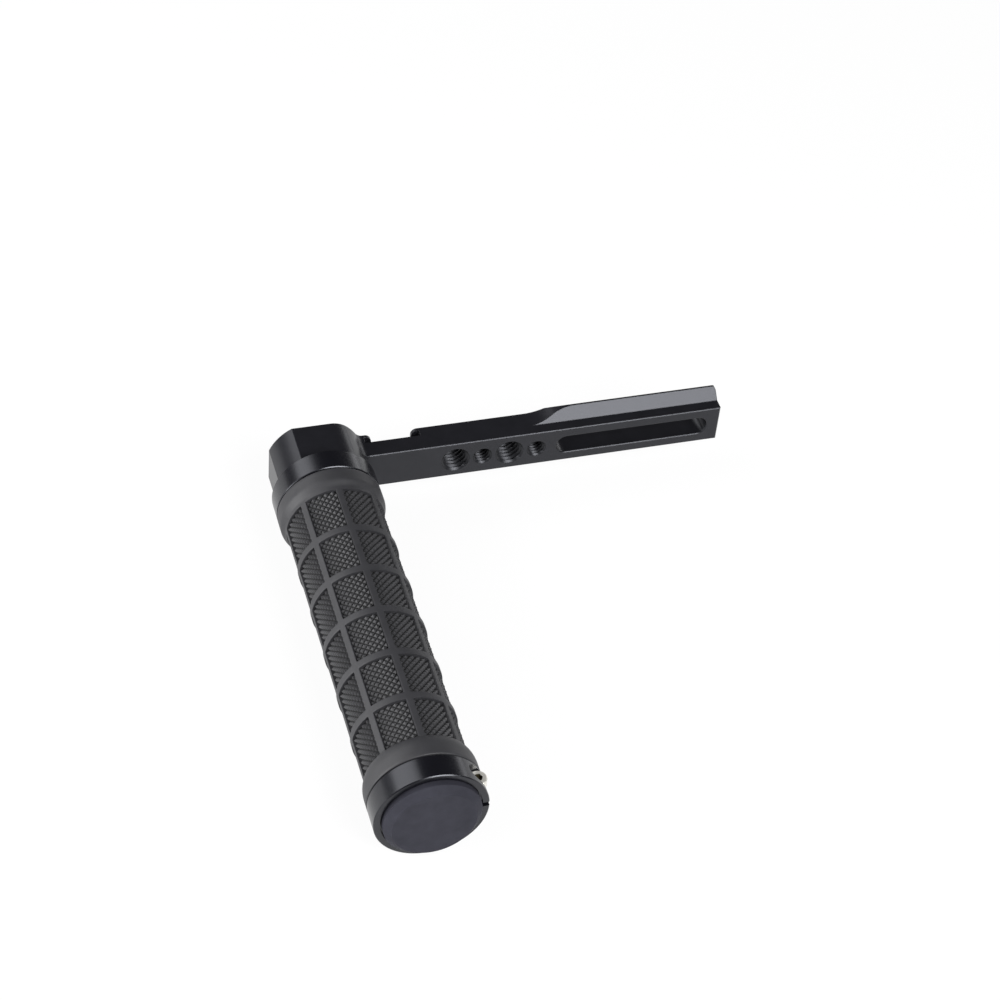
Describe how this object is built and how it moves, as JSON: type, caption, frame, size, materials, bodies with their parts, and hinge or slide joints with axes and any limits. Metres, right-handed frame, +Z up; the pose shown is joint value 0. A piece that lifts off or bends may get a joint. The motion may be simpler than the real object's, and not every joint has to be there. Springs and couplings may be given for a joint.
{
  "type": "camera top handle",
  "caption": "Camera top handle: a round ribbed rubber grip square to a machined arm with an accessory shoe, threaded holes, a long slot and a dovetail rail.",
  "frame": {"origin": "under the middle of the handle's box as it lies on its side", "axes": "+X along the bar from the head to the rail's tip, -Y along the grip, +Z up"},
  "size_m": [0.1566, 0.1574, 0.0349],
  "materials": {
    "black_anodised": "satin black anodised",
    "bare_aluminium": "turned",
    "hard_plastic": "moulded",
    "grip_rubber": "matt black",
    "gloss_anodised": "polished black anodised",
    "bright_steel": "bright stainless",
    "plug_plastic": "fine matt",
    "black_steel": "black oxide"
  },
  "bodies": {
    "root": {"arm": "black_anodised", "grip_tube": "bare_aluminium", "grip_core": "hard_plastic", "rubber_sleeve": "grip_rubber", "inner_clamp_ring": "gloss_anodised", "outer_clamp_ring": "gloss_anodised", "inner_clamp_screw": "bright_steel", "outer_clamp_screw": "bright_steel", "end_plug": "plug_plastic", "tube_bolt": "black_steel"}
  },
  "joints": []
}
